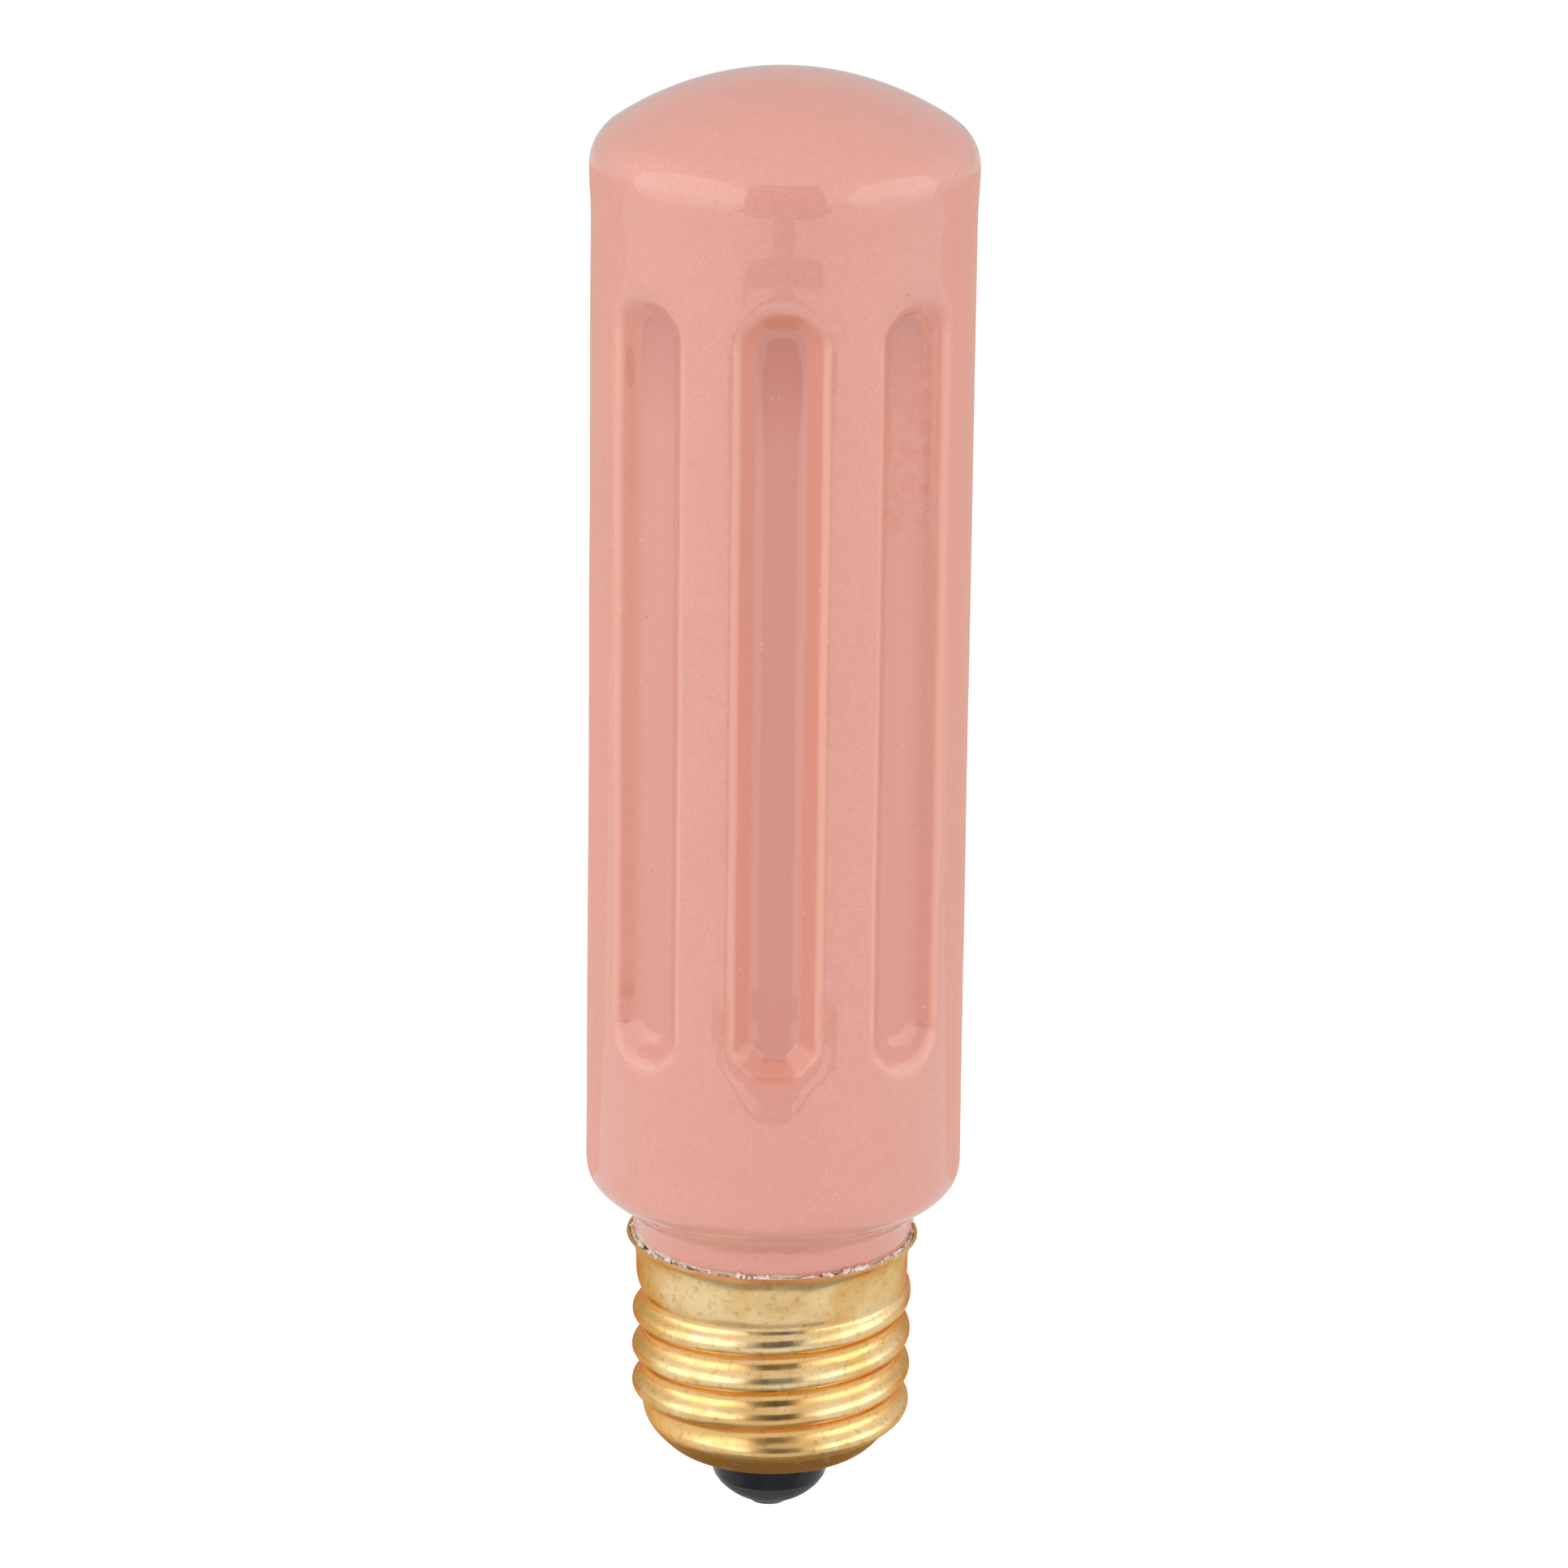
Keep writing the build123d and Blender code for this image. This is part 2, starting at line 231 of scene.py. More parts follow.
# The near edge of the table is a low arc
table_edge_near = 0.434
table_edge_far = 0.456
table_edge_end = -0.335
bpy.ops.mesh.primitive_circle_add(vertices=96, radius=table_edge_near)
table_edge = bpy.context.object
table_edge.name = "table_edge"
bpy.ops.object.mode_set(mode="EDIT")
bpy.context.tool_settings.mesh_select_mode = (True, False, False)
bpy.ops.mesh.select_all(action="SELECT")
bpy.ops.mesh.extrude_edges_move()
growth = table_edge_far / table_edge_near
bpy.ops.transform.resize(value=(growth, growth, 1), center_override=(0, 0, 0))
bpy.ops.mesh.select_all(action="SELECT")
bpy.ops.transform.translate(value=(0, 0, edge_height))
select_by_place(table_edge, lambda point: point.y > table_edge_end)
bpy.ops.mesh.delete(type="VERT")
bpy.ops.object.mode_set(mode="OBJECT")
only_mirrored(table_edge, near_black)

# Ceramic casting
# The heater's body is one slip casting of dense ceramic with the heating wire inside its wall. Six of
# the eight places round its barrel are sunk as flutes, and all of it but the foot of the neck is glazed.
casting_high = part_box("ceramic_body")[1]
bead_radius = casting_high[0]
barrel_radius = bead_radius - 0.23 * mm
dome_round = 27.8 * mm
edge_round = 4.3 * mm
dome_centre = casting_high[2] - dome_round
edge_centre = bead_radius - edge_round
bead_height = dome_centre + math.sqrt((dome_round - edge_round) ** 2 - edge_centre**2)
edge_angle = math.atan2(bead_height - dome_centre, edge_centre)
casting_columns = 128


def arc_rings(centre_radius, centre_height, arc_radius, start, end, count):
    """Radii and heights of rings along an arc of a turned outline, without its first point."""
    angles = [start + (end - start) * (step + 1) / count for step in range(count)]
    return [
        (centre_radius + arc_radius * math.cos(angle), centre_height + arc_radius * math.sin(angle))
        for angle in angles
    ]


def in_metres(outline):
    """Scale an outline that is given in millimetres."""
    return [(radius * mm, height * mm) for radius, height in outline]


def turn_piece(name, columns, outline):
    """Turn a piece from its outline, ring by ring, and leave it open at both ends in edit mode."""
    radius, height = outline[0]
    bpy.ops.mesh.primitive_circle_add(vertices=columns, radius=radius)
    piece = bpy.context.object
    piece.name = name
    bpy.ops.object.mode_set(mode="EDIT")
    bpy.context.tool_settings.mesh_select_mode = (True, True, False)
    bpy.ops.mesh.select_all(action="SELECT")
    bpy.ops.transform.translate(value=(0, 0, height))
    for next_radius, next_height in outline[1:]:
        step = (0, 0, next_height - height)
        bpy.ops.mesh.extrude_edges_move(TRANSFORM_OT_translate={"value": step})
        growth = next_radius / radius
        bpy.ops.transform.resize(value=(growth, growth, 1), center_override=(0, 0, next_height))
        radius, height = next_radius, next_height
    return piece


def close_ends():
    """Fill the open rings of the piece in edit mode, and leave edit mode with its faces outwards."""
    bpy.ops.mesh.select_all(action="SELECT")
    bpy.ops.mesh.fill_holes(sides=0)
    bpy.ops.mesh.select_all(action="SELECT")
    bpy.ops.mesh.normals_make_consistent(inside=False)
    bpy.ops.object.mode_set(mode="OBJECT")


def subdivide(piece, levels):
    """Round a cage with an applied subdivision surface, and shade it smooth."""
    rounding = piece.modifiers.new("rounding", "SUBSURF")
    rounding.levels = levels
    rounding.render_levels = levels
    bpy.ops.object.modifier_apply(modifier=rounding.name)
    bpy.ops.object.shade_smooth()


neck_outline = [
    (11.2, 15.6), (11.2, 26.8), (12.1, 27.1), (12.75, 27.25), (13.02, 27.7), (13.12, 28.6),
    (13.12, 29.5), (13.3, 30.2), (13.85, 30.75), (14.75, 31.3), (15.65, 31.95), (16.5, 32.6),
    (17.1, 33.3), (17.45, 34.1), (17.56, 35.2),
]
flute_floor_low = 50.5 * mm
flute_floor_high = 118.0 * mm
end_steps = (3.4, 0.8, 0, -0.9, -1.8, -2.9)
middle_rows = 4
barrel_heights = [37.0 * mm, 42.5 * mm]
barrel_heights += [flute_floor_low + step * mm for step in reversed(end_steps)]
row_gap = (flute_floor_high - flute_floor_low - 2 * end_steps[0] * mm) / (middle_rows + 1)
barrel_heights += [
    flute_floor_low + end_steps[0] * mm + row_gap * (row + 1) for row in range(middle_rows)
]
barrel_heights += [flute_floor_high - step * mm for step in end_steps]
barrel_heights += [123.2 * mm, 125.6 * mm]
bead_foot_angle = -0.1
dome_end_angle = math.radians(88.4)
outline = in_metres(neck_outline)
outline += [(barrel_radius, height) for height in barrel_heights]
outline += [
    (barrel_radius + 0.05 * mm, bead_height - 3.0 * mm),
    (bead_radius - 0.05 * mm, bead_height - 1.2 * mm),
]
outline += arc_rings(edge_centre, bead_height, edge_round, bead_foot_angle, edge_angle, count=5)
outline += arc_rings(0, dome_centre, dome_round, edge_angle, dome_end_angle, count=6)
casting = turn_piece("ceramic_casting", casting_columns, outline)

# The floor of each flute is pushed in, and the wall follows it with a smooth falloff
flute_places = 8
plain_places = (2, 6)
flute_depth = 2.0 * mm
flute_floor_half = 1.8 * mm
flute_corner_half = 1.0 * mm
flute_corner_length = 0.5 * mm
flute_wall_reach = 2.9 * mm
end_slack = 0.01 * mm
for place in range(flute_places):
    if place in plain_places:
        continue
    bearing = -math.pi / 2 + place * 2 * math.pi / flute_places
    outward = Vector((math.cos(bearing), math.sin(bearing), 0))
    across = Vector((-math.sin(bearing), math.cos(bearing), 0))

    def on_floor(point):
        """Whether a vertex lies over this flute's floor, whose corners are cut off."""
        from_end = min(point.z - flute_floor_low, flute_floor_high - point.z)
        half = flute_corner_half if from_end < flute_corner_length else flute_floor_half
        return point.dot(outward) > 0 and from_end > -end_slack and abs(point.dot(across)) < half

    select_by_place(casting, on_floor)
    bpy.ops.transform.translate(
        value=-flute_depth * outward,
        use_proportional_edit=True,
        proportional_edit_falloff="SMOOTH",
        proportional_size=flute_wall_reach,
    )
close_ends()
subdivide(casting, 2)

# The slip shrinks a little unevenly in drying
slip_waves = bpy.data.textures.new("slip_waves", "CLOUDS")
slip_waves.noise_scale = 14 * mm
settling = casting.modifiers.new("settling", "DISPLACE")
settling.texture = slip_waves
settling.texture_coords = "LOCAL"
settling.strength = 0.12 * mm
settling.mid_level = 0.62
bpy.ops.object.modifier_apply(modifier=settling.name)
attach(casting, "root")
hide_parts("ceramic_body")


class Recipe:
    """A material's nodes, which are added and linked one by one."""

    def __init__(self, name):
        self.material = bpy.data.materials.new(name)
        self.material.use_nodes = True
        self.nodes = self.material.node_tree.nodes
        self.links = self.material.node_tree.links
        self.shader = self.nodes["Principled BSDF"]
        self.place = self.nodes.new("ShaderNodeTexCoord").outputs["Object"]

    def math(self, operation, *values):
        """A Math node over sockets and plain numbers."""
        node = self.nodes.new("ShaderNodeMath")
        node.operation = operation
        for slot, value in zip(node.inputs, values):
            self.put(value, slot)
        return node.outputs[0]

    def put(self, value, slot):
        """Link a socket, or set a plain value."""
        if isinstance(value, bpy.types.NodeSocket):
            self.links.new(value, slot)
        else:
            slot.default_value = value

    def noise(self, scale, detail=2.0, roughness=0.5, stretch=None):
        """A Noise texture's factor, scaled in waves per metre."""
        node = self.nodes.new("ShaderNodeTexNoise")
        node.inputs["Scale"].default_value = scale
        node.inputs["Detail"].default_value = detail
        node.inputs["Roughness"].default_value = roughness
        source = self.place
        if stretch is not None:
            mapping = self.nodes.new("ShaderNodeMapping")
            mapping.inputs["Scale"].default_value = stretch
            self.links.new(source, mapping.inputs["Vector"])
            source = mapping.outputs[0]
        self.links.new(source, node.inputs["Vector"])
        return node.outputs["Fac"]

    def band(self, value, low, high, low_result=0.0, high_result=1.0):
        """A smooth step of a value between two limits."""
        node = self.nodes.new("ShaderNodeMapRange")
        node.interpolation_type = "SMOOTHSTEP"
        self.put(value, node.inputs["Value"])
        node.inputs["From Min"].default_value = low
        node.inputs["From Max"].default_value = high
        node.inputs["To Min"].default_value = low_result
        node.inputs["To Max"].default_value = high_result
        return node.outputs[0]

    def mix(self, factor, first, second):
        """A colour mixed from two colours by a factor."""
        node = self.nodes.new("ShaderNodeMix")
        node.data_type = "RGBA"
        self.put(factor, node.inputs["Factor"])
        for value, slot in ((first, node.inputs["A"]), (second, node.inputs["B"])):
            self.put(value if isinstance(value, bpy.types.NodeSocket) else (*value, 1), slot)
        return node.outputs["Result"]

    def bump(self, height, depth, strength=1.0, under=None):
        """A bump of a height field, given its depth in metres, over an earlier bump."""
        node = self.nodes.new("ShaderNodeBump")
        node.inputs["Distance"].default_value = depth
        node.inputs["Strength"].default_value = strength
        self.put(height, node.inputs["Height"])
        if under is not None:
            self.links.new(under, node.inputs["Normal"])
        return node.outputs[0]

    def axes(self):
        """The x, y and z of the place, and the distance from the axis."""
        node = self.nodes.new("ShaderNodeSeparateXYZ")
        self.links.new(self.place, node.inputs[0])
        x, y, z = node.outputs
        squares = self.math("ADD", self.math("MULTIPLY", x, x), self.math("MULTIPLY", y, y))
        return x, y, z, self.math("SQRT", squares)

    def finish(self, color=None, normal=None, **values):
        """Set the shader's own sockets."""
        if color is not None:
            self.links.new(color, self.shader.inputs["Base Color"])
        if normal is not None:
            self.links.new(normal, self.shader.inputs["Normal"])
        for name, value in values.items():
            self.put(value, self.shader.inputs[name.replace("_", " ")])
        return self.material


glaze = Recipe("salmon_glaze")
x, y, z, from_axis = glaze.axes()
land_pink = (0.75, 0.33, 0.262)
warm_pink = (0.77, 0.345, 0.262)
mottle_pink = (0.71, 0.30, 0.235)
grain_pink = (0.63, 0.25, 0.195)
deep_rose = (0.70, 0.24, 0.16)
floor_shade_pink = (0.70, 0.30, 0.24)
edge_orange = (0.86, 0.40, 0.29)
shade_mauve = (0.60, 0.225, 0.18)
bare_cream = (0.80, 0.70, 0.56)
cloudy = glaze.noise(70, 3, 0.55)
body_color = glaze.mix(glaze.band(cloudy, 0.35, 0.65, 0, 0.6), land_pink, warm_pink)
body_color = glaze.mix(glaze.band(glaze.noise(800, 3, 0.6), 0.35, 0.7, 0, 0.4), body_color, mottle_pink)
body_color = glaze.mix(glaze.band(glaze.noise(4200, 2, 0.7), 0.42, 0.7, 0, 0.4), body_color, grain_pink)
in_barrel = glaze.math(
    "MULTIPLY", glaze.band(z, 44 * mm, 47 * mm), glaze.band(z, 124 * mm, 121 * mm)
)
on_edge = glaze.math(
    "MULTIPLY",
    glaze.band(from_axis, 16.8 * mm, 17.1 * mm),
    glaze.band(from_axis, 17.4 * mm, 17.3 * mm),
)
in_wall = glaze.band(from_axis, 17.4 * mm, 16.8 * mm)
in_floor = glaze.band(from_axis, 15.95 * mm, 15.66 * mm)
on_edge = glaze.math("MULTIPLY", on_edge, glaze.band(z, 49 * mm, 53 * mm))
on_edge = glaze.math("MULTIPLY", on_edge, glaze.band(z, 119 * mm, 116 * mm))
in_wall = glaze.math("MULTIPLY", in_wall, in_barrel)
in_floor = glaze.math("MULTIPLY", in_floor, in_barrel)
# Flute walls are painted deeper rose, partly for glaze pooled in them and partly as painted shade and
# inter-reflection, more strongly on the flutes near the front and back than on those at the sides
thick_glaze_and_shade = glaze.band(glaze.math("ABSOLUTE", x), 6 * mm, 8 * mm, 0.95, 0.45)
body_color = glaze.mix(glaze.math("MULTIPLY", in_wall, thick_glaze_and_shade), body_color, deep_rose)
# Flute floors are painted a little darker, as painted shade in the recess
body_color = glaze.mix(glaze.math("MULTIPLY", in_floor, thick_glaze_and_shade), body_color, floor_shade_pink)
# The top of each flute floor is painted darker mauve, as painted shade under the end wall
floor_top_shade = glaze.math("MULTIPLY", in_floor, glaze.band(z, 106 * mm, 117.5 * mm, 0, 0.85))
body_color = glaze.mix(floor_top_shade, body_color, shade_mauve)
body_color = glaze.mix(glaze.math("MULTIPLY", on_edge, 0.65), body_color, edge_orange)
wrinkled = glaze.math("MULTIPLY", glaze.band(x, 8 * mm, 9.5 * mm), glaze.band(y, -6 * mm, -8 * mm))
wrinkled = glaze.math("MULTIPLY", wrinkled, glaze.band(z, 92 * mm, 101 * mm))
wrinkled = glaze.math("MULTIPLY", wrinkled, glaze.band(from_axis, 16.8 * mm, 16.2 * mm))
wrinkled = glaze.math("MULTIPLY", wrinkled, in_barrel)
wrinkles = glaze.math("MULTIPLY", glaze.noise(620, 4, 0.65), wrinkled)
body_color = glaze.mix(glaze.band(wrinkles, 0.42, 0.62, 0, 0.8), body_color, deep_rose)
ragged_reach = 1.3 * mm
slant_along_x = 0.019
slant_along_y = 0.031
ragged = glaze.math("MULTIPLY", glaze.math("SUBTRACT", glaze.noise(330, 3, 0.6), 0.5), ragged_reach)
foot_slant = glaze.math(
    "SUBTRACT", glaze.math("MULTIPLY", x, slant_along_x), glaze.math("MULTIPLY", y, slant_along_y)
)
glaze_foot = glaze.math("ADD", glaze.math("ADD", z, ragged), foot_slant)
bare = glaze.band(glaze_foot, 28.12 * mm, 28.0 * mm)
body_color = glaze.mix(bare, body_color, bare_cream)


def dots(size, spacing, share, spread):
    """Small round dots in a few of the cells of a Voronoi texture."""
    cells = glaze.nodes.new("ShaderNodeTexVoronoi")
    cells.inputs["Scale"].default_value = 1 / spacing
    glaze.links.new(glaze.place, cells.inputs["Vector"])
    near = glaze.band(cells.outputs["Distance"], size / spacing, 0.6 * size / spacing)
    chosen = glaze.band(glaze.noise(spread, 1, 0.5), 1 - share, 1.04 - share)
    return glaze.math("MULTIPLY", near, chosen)


bubble_pink = (0.98, 0.68, 0.58)
iron_brown = (0.22, 0.10, 0.07)
bubbles = dots(size=0.08 * mm, spacing=0.7 * mm, share=0.36, spread=500)
body_color = glaze.mix(glaze.math("MULTIPLY", bubbles, 0.7), body_color, bubble_pink)
iron_spots = dots(size=0.12 * mm, spacing=3.6 * mm, share=0.42, spread=190)
body_color = glaze.mix(glaze.math("MULTIPLY", iron_spots, 0.8), body_color, iron_brown)
orange_peel = glaze.bump(glaze.noise(420, 2, 0.5), 0.03 * mm, 0.4)
fine_peel = glaze.bump(glaze.noise(2600, 3, 0.6), 0.008 * mm, 0.6, orange_peel)
floor_grain = glaze.math("MULTIPLY", glaze.noise(1400, 4, 0.65), in_floor)
floor_relief = glaze.bump(floor_grain, 0.04 * mm, 0.7, fine_peel)
glaze_relief = glaze.bump(wrinkles, 0.3 * mm, 0.9, floor_relief)
glaze.finish(
    body_color,
    glaze_relief,
    Roughness=glaze.band(bare, 0, 1, 0.45, 0.85),
    IOR=1.45,
    Coat_Weight=1.0,
    Coat_IOR=1.6,
    Coat_Roughness=0.03,
)
casting.data.materials.append(glaze.material)

# Screw cap
# The cap is drawn from thin brass sheet. Its thread is pressed in between rollers and runs out into the
# wall at both ends, its rim is flared over the cement, and its foot curves in to grip the black glass.
foot_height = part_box("screw_shell")[0][2]
sheet_thickness = 0.3 * mm
thread_pitch = 3.629 * mm
thread_depth = 0.95 * mm
thread_turns = 3.18
thread_fade = 0.32
thread_start_height = 9.97 * mm
thread_start_bearing = math.radians(-60)
cap_columns = 64

foot_outline = [
    (6.1, 6.2), (7.2, 6.2), (8.4, 6.22), (9.2, 6.44), (9.9, 6.9), (10.55, 7.55), (11.2, 8.3),
    (11.8, 9.1), (12.1, 10.0),
]
wall_outline = [(12.15, height) for height in range(11, 22)]
collar_outline = [
    (12.2, 21.9), (12.6, 22.6), (12.78, 23.3), (12.8, 24.3), (12.8, 25.4), (12.95, 26.2),
    (13.3, 26.9), (13.68, 27.38),
]
cap = turn_piece("brass_cap", cap_columns, in_metres(foot_outline + wall_outline + collar_outline))
bpy.ops.object.mode_set(mode="OBJECT")
faces = cap.data.polygons
outward_sum = sum(face.normal.x * face.center.x + face.normal.y * face.center.y for face in faces)
if outward_sum < 0:
    bpy.ops.object.mode_set(mode="EDIT")
    bpy.ops.mesh.select_all(action="SELECT")
    bpy.ops.mesh.flip_normals()
    bpy.ops.object.mode_set(mode="OBJECT")
subdivide(cap, 2)

# No turning or screwing tool lets a thread run out, so its crest is raised here by a formula, along with
# the tiny dents that the rollers leave
roller_dent = 0.05 * mm
dent_waves = 160
foot_grip = 1.2 * mm
quarter = thread_pitch / 4
thread_round = (quarter**2 + (thread_depth / 2) ** 2) / thread_depth


def thread_rise(offset):
    """Height of the rolled thread at a distance from its crest, in equal arcs for crest and root."""
    offset = min(abs(offset), 2 * quarter)
    if offset < quarter:
        return thread_depth - thread_round + math.sqrt(thread_round**2 - offset**2)
    return thread_round - math.sqrt(thread_round**2 - (2 * quarter - offset) ** 2)


def thread_strength(turn):
    """Share of the full height at a place along the thread, which fades at both ends."""
    past_end = max(0, -turn, turn - thread_turns) / thread_fade
    return 1 - min(1, past_end) ** 2 * (3 - 2 * min(1, past_end))


for vertex in cap.data.vertices:
    place = vertex.co
    bearing = math.atan2(place.y, place.x) - thread_start_bearing
    round_turn = (bearing / (2 * math.pi)) % 1
    turn_at_height = (place.z - thread_start_height) / thread_pitch
    rise = 0.0
    for lap in range(-1, 5):
        turn = lap + round_turn
        offset = (turn_at_height - turn) * thread_pitch
        if abs(offset) < 2 * quarter:
            rise = max(rise, thread_rise(offset) * thread_strength(turn))
    radius = math.hypot(place.x, place.y)
    rise += roller_dent * noise.noise(place * dent_waves)
    if place.z > foot_height + foot_grip:
        growth = (radius + rise) / radius
        place.x *= growth
        place.y *= growth

sheet = cap.modifiers.new("sheet", "SOLIDIFY")
sheet.thickness = sheet_thickness
sheet.offset = -1
bpy.ops.object.modifier_apply(modifier=sheet.name)
bpy.ops.object.shade_smooth_by_angle(angle=math.radians(50))
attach(cap, "root")
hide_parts("screw_shell")

brass = Recipe("rolled_brass")
x, y, z, from_axis = brass.axes()
pale_brass = (0.95, 0.71, 0.37)
speck_olive = (0.40, 0.27, 0.10)
warm_brass = (0.80, 0.47, 0.15)
root_amber = (0.98, 0.58, 0.21)
foot_brown = (0.40, 0.21, 0.07)
stain_pink = (0.80, 0.62, 0.52)
tarnish = brass.noise(130, 3, 0.6)
brass_color = brass.mix(brass.band(tarnish, 0.4, 0.6, 0, 0.8), pale_brass, warm_brass)
in_root = brass.math(
    "MULTIPLY", brass.band(from_axis, 12.75 * mm, 12.2 * mm), brass.band(z, 22.5 * mm, 21.0 * mm)
)
brass_color = brass.mix(brass.math("MULTIPLY", in_root, 0.8), brass_color, root_amber)
at_foot = brass.band(z, 9.9 * mm, 8.4 * mm)
brass_color = brass.mix(brass.math("MULTIPLY", at_foot, 0.88), brass_color, foot_brown)
specks = brass.band(brass.noise(1500, 3, 0.6), 0.52, 0.72)
brass_color = brass.mix(brass.math("MULTIPLY", specks, 0.45), brass_color, speck_olive)
stains = brass.band(brass.noise(420, 4, 0.65), 0.58, 0.66)
brass_color = brass.mix(brass.math("MULTIPLY", stains, 0.35), brass_color, stain_pink)
foot_dull = brass.math("MULTIPLY", at_foot, 0.2)
rolling_marks = brass.noise(260, 2, 0.5, stretch=(1, 1, 4))
dents = brass.bump(brass.noise(120, 2, 0.5), 0.14 * mm, 0.5)
brass_relief = brass.bump(rolling_marks, 0.02 * mm, 0.3, dents)
wear = brass.band(brass.noise(300, 3, 0.55), 0.3, 0.7, 0.2, 0.34)
brass.finish(
    brass_color,
    brass_relief,
    Metallic=1.0,
    Specular_Tint=(0.80, 0.55, 0.32, 1),
    Roughness=brass.math("ADD", wear, foot_dull),
)
cap.data.materials.append(brass.material)

# Cement
# White heat-proof cement fills the collar round the ceramic spigot. It was wiped off roughly at the rim,
# so it stands there in a crumbly bead with gaps and loose grains.
cement_columns = 180
cement_outline = [
    (11.3, 23.2), (12.3, 23.2), (12.42, 25.2), (12.6, 26.2), (13.1, 26.9), (13.32, 27.15),
    (13.25, 27.4), (13.05, 27.45), (12.8, 27.3), (12.4, 27.05), (11.3, 26.7),
]
lump_size = 0.3
lump_lift = 0.08
lump_spread = 0.006


def join_ends():
    """Bridge both open rings of the hollow piece in edit mode, and leave it with its faces outwards."""
    bpy.ops.mesh.select_non_manifold(extend=False)
    bpy.ops.mesh.bridge_edge_loops()
    bpy.ops.mesh.select_all(action="SELECT")
    bpy.ops.mesh.normals_make_consistent(inside=False)
    bpy.ops.object.mode_set(mode="OBJECT")


cement = turn_piece("cement_ring", cement_columns, in_metres(cement_outline))
join_ends()
subdivide(cement, 1)
random.seed(27)
for vertex in cement.data.vertices:
    place = vertex.co
    height_share = min(1, max(0, (place.z - 26.8 * mm) / (0.5 * mm)))
    lumps = noise.noise(place * 900) + 0.6 * noise.noise(place * 2600)
    place.z += height_share * (lump_size * lumps + lump_lift) * mm
    shift = 1 + height_share * lump_spread * noise.noise(place * 1700 + Vector((3, 0, 0)))
    place.x *= shift
    place.y *= shift

grain_count = 130
crumb_growth = 1.7
grain_raggedness = 0.7
crumb_bearings = (-156, -148, -138, -103, -99, -66, -60, -54, -48, -40, -33, 15, 62, 108, 160)
grains = []
for index in range(grain_count):
    bearing = random.uniform(0, 2 * math.pi)
    size = random.uniform(0.07, 0.18) * mm
    if index % 2:
        bearing = math.radians(random.choice(crumb_bearings) + random.gauss(0, 4))
        size *= crumb_growth
    out = random.uniform(13.0, 13.35) * mm
    height = random.uniform(27.35, 27.65) * mm + 0.5 * size
    place = (out * math.cos(bearing), out * math.sin(bearing), height)
    bpy.ops.mesh.primitive_ico_sphere_add(subdivisions=2, radius=size, location=place)
    grain = bpy.context.object
    bpy.ops.object.transform_apply(location=True, rotation=True, scale=True)
    for vertex in grain.data.vertices:
        away = vertex.co - Vector(place)
        vertex.co = Vector(place) + away * (1 + grain_raggedness * noise.noise(vertex.co * 3600))
    grains.append(grain)
bpy.ops.object.select_all(action="DESELECT")
for grain in grains:
    grain.select_set(True)
cement.select_set(True)
bpy.context.view_layer.objects.active = cement
bpy.ops.object.join()
bpy.ops.object.shade_smooth()
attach(cement, "root")
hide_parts("cap_cement")

dry_cement = Recipe("dry_cement")
chalk = dry_cement.noise(1500, 5, 0.7)
cement_color = dry_cement.mix(dry_cement.band(chalk, 0.3, 0.65), (0.74, 0.65, 0.55), (0.92, 0.88, 0.82))
cement_relief = dry_cement.bump(dry_cement.noise(3200, 4, 0.6), 0.05 * mm, 0.6)
dry_cement.finish(cement_color, cement_relief, Roughness=0.95)
cement.data.materials.append(dry_cement.material)

# Glass insulator
# Black glass is moulded hot into the foot of the cap, so it fills the curved foot and stands out below it
# as a short cone that carries the contact.
insulator_outline = [
    (1.7, 8.2), (3.6, 8.2), (11.0, 8.75), (11.2, 8.6), (10.3, 7.85), (9.3, 6.95), (8.6, 6.55),
    (7.4, 6.5), (6.15, 6.5), (6.1, 6.4), (6.1, 5.6), (6.0, 5.25), (5.75, 4.7), (5.45, 3.7),
    (5.28, 3.12), (5.15, 3.05), (5.1, 3.3), (4.4, 2.5), (3.0, 1.6), (1.7, 1.15),
]
small_columns = 64
insulator = turn_piece("glass_insulator", small_columns, in_metres(insulator_outline))
join_ends()
subdivide(insulator, 2)
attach(insulator, "root")
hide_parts("base_insulator")

black_glass = Recipe("black_glass")
deep_black = (0.008, 0.008, 0.010)
soft_black = (0.02, 0.02, 0.024)
glass_color = black_glass.mix(black_glass.noise(300, 3, 0.6), deep_black, soft_black)
glass_relief = black_glass.bump(black_glass.noise(500, 2, 0.5), 0.05 * mm, 0.4)
black_glass.finish(
    glass_color,
    glass_relief,
    Roughness=black_glass.band(black_glass.noise(700, 3, 0.6), 0.3, 0.7, 0.1, 0.28),
    Specular_IOR_Level=0.2,
)
insulator.data.materials.append(black_glass.material)

# Centre contact
# A tinned plate with a hollow rivet stem through the glass, domed where it meets the holder's spring.
contact_outline = [
    (1.2, 8.5), (2.3, 8.5), (2.4, 8.4), (2.35, 8.25), (1.75, 8.2), (1.7, 8.0), (1.7, 1.3), (1.9, 1.0),
    (3.4, 1.65), (4.8, 3.0), (5.02, 3.15), (5.1, 3.05), (5.05, 2.8), (4.6, 2.25), (3.7, 1.45),
    (2.6, 0.85), (1.5, 0.5), (1.2, 0.5),
]
contact = turn_piece("contact_plate", small_columns, in_metres(contact_outline))
join_ends()
subdivide(contact, 2)
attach(contact, "root")
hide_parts("centre_contact")

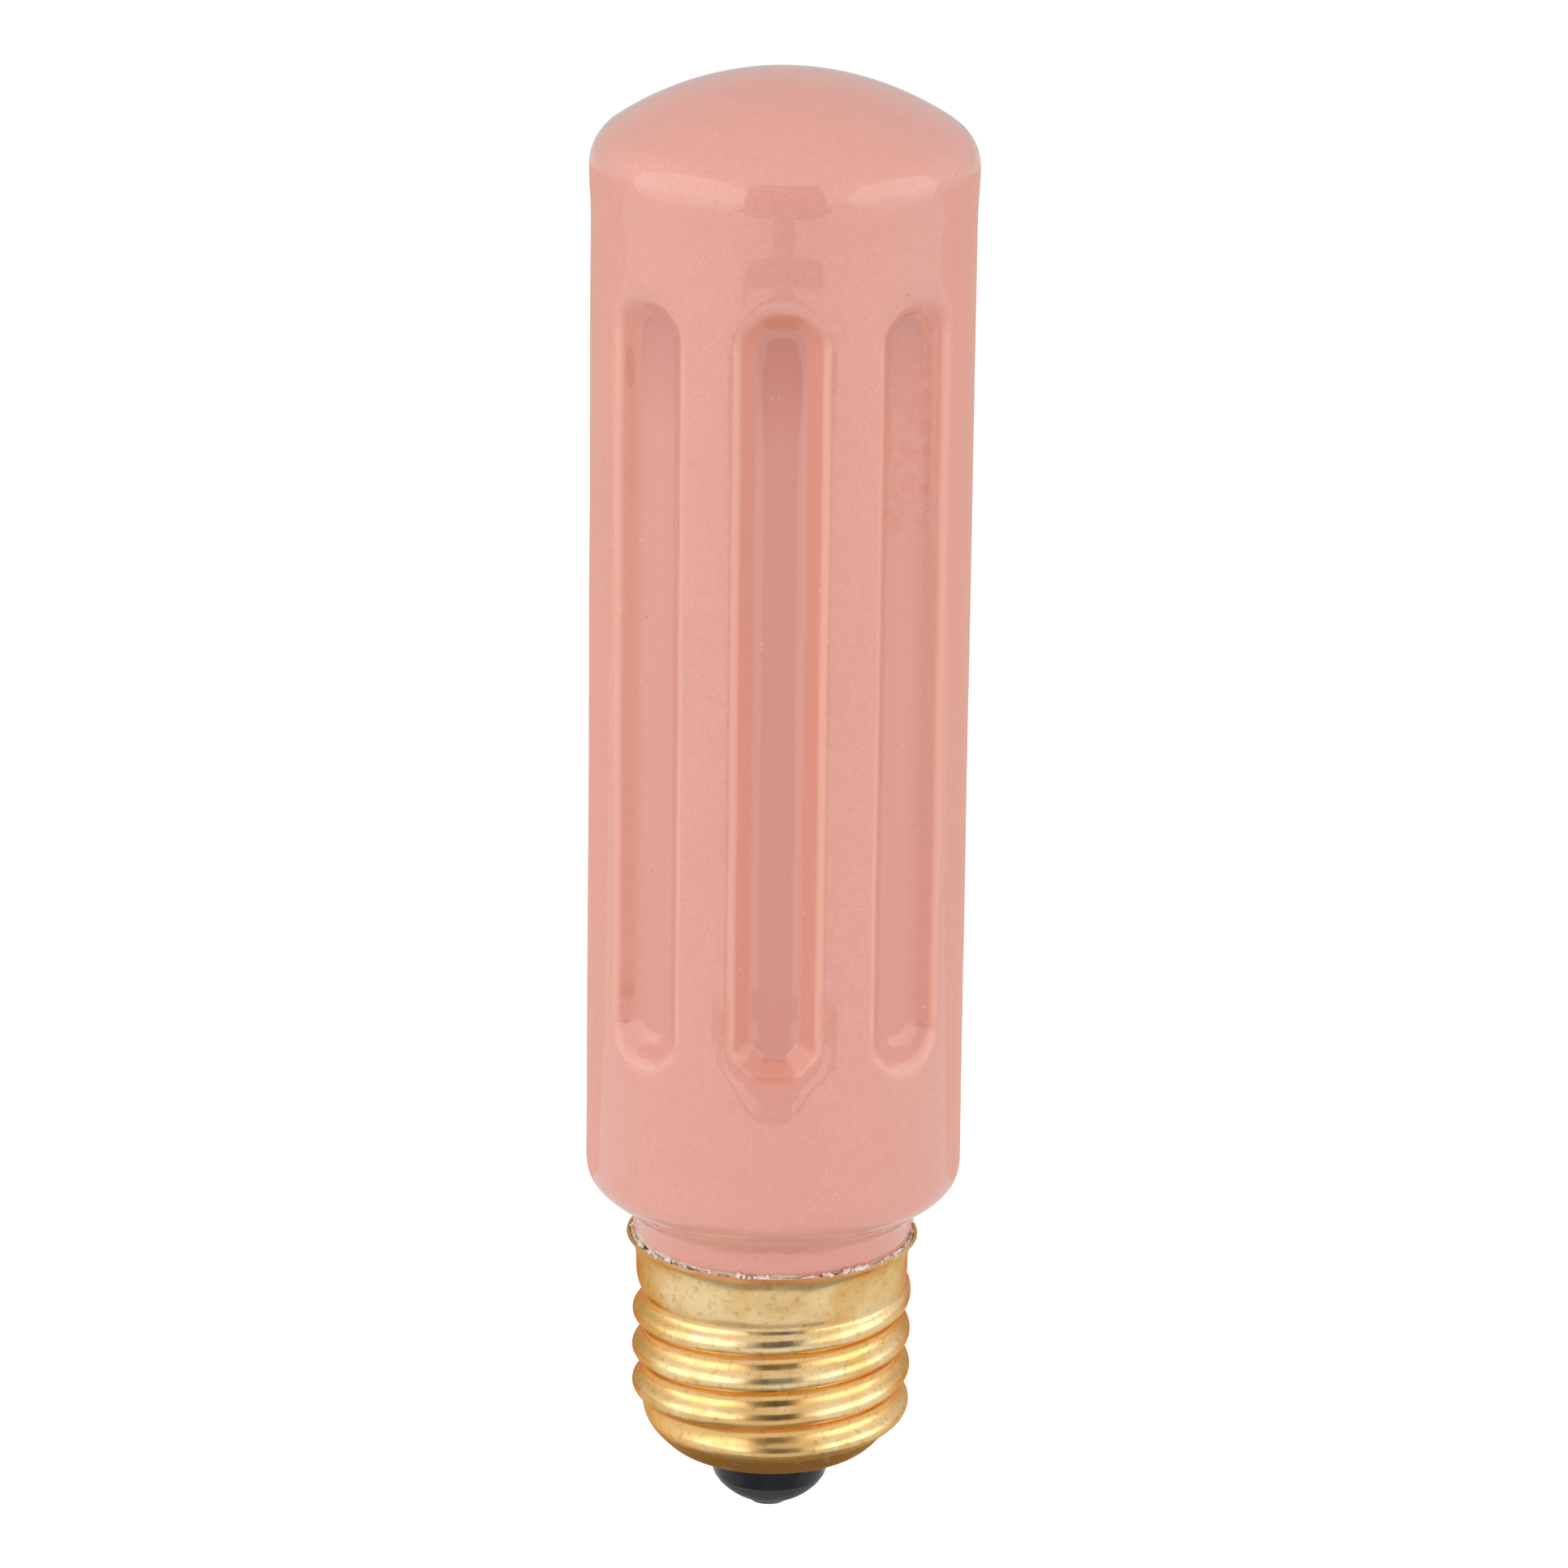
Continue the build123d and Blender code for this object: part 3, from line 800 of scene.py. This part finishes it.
tinned = Recipe("dull_tin")
tin_color = tinned.mix(tinned.noise(700, 5, 0.7), (0.055, 0.055, 0.055), (0.12, 0.12, 0.12))
tin_relief = tinned.bump(tinned.noise(1200, 4, 0.6), 0.03 * mm, 0.6)
tinned.finish(tin_color, tin_relief, Metallic=0.85, Roughness=0.5)
contact.data.materials.append(tinned.material)

# Contact solder
# A drop of solder closes the rivet on the end of the centre lead. It is filed almost flat.
solder_outline = [
    (0.3, 3.0), (1.1, 3.0), (1.15, 2.8), (1.15, 0.6), (1.75, 0.62), (1.9, 0.52), (1.75, 0.3),
    (1.3, 0.13), (0.8, 0.05), (0.3, 0.02),
]
solder_columns = 48
drop_height = 0.6 * mm
drop_unevenness = 0.12
solder = turn_piece("solder_drop", solder_columns, in_metres(solder_outline))
close_ends()
subdivide(solder, 2)
for vertex in solder.data.vertices:
    if vertex.co.z < drop_height:
        shift = 1 + drop_unevenness * noise.noise(vertex.co * 700)
        vertex.co.x *= shift
        vertex.co.y *= shift
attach(solder, "root")
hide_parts("contact_solder")

solder_metal = Recipe("solder_metal")
dark_solder = (0.11, 0.11, 0.11)
pale_solder = (0.22, 0.22, 0.22)
solder_color = solder_metal.mix(solder_metal.noise(900, 4, 0.6), dark_solder, pale_solder)
solder_relief = solder_metal.bump(solder_metal.noise(1600, 3, 0.6), 0.03 * mm, 0.5)
solder_metal.finish(solder_color, solder_relief, Metallic=0.9, Roughness=0.4)
solder.data.materials.append(solder_metal.material)

# Lead wires
# Two drawn nickel wires run inside the cap from the spigot, one to the contact and one to the cap's wall.
# They are carried over from the CAD as they are, and only take their metal here.
nickel = Recipe("nickel_wire")
nickel_color = nickel.mix(nickel.noise(800, 3, 0.6), (0.45, 0.43, 0.39), (0.62, 0.60, 0.56))
nickel_relief = nickel.bump(nickel.noise(2000, 3, 0.6), 0.01 * mm, 0.5)
nickel.finish(nickel_color, nickel_relief, Metallic=1.0, Roughness=0.4)
for lead in ("centre_lead", "shell_lead"):
    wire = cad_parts[lead]
    wire.data.materials.clear()
    wire.data.materials.append(nickel.material)
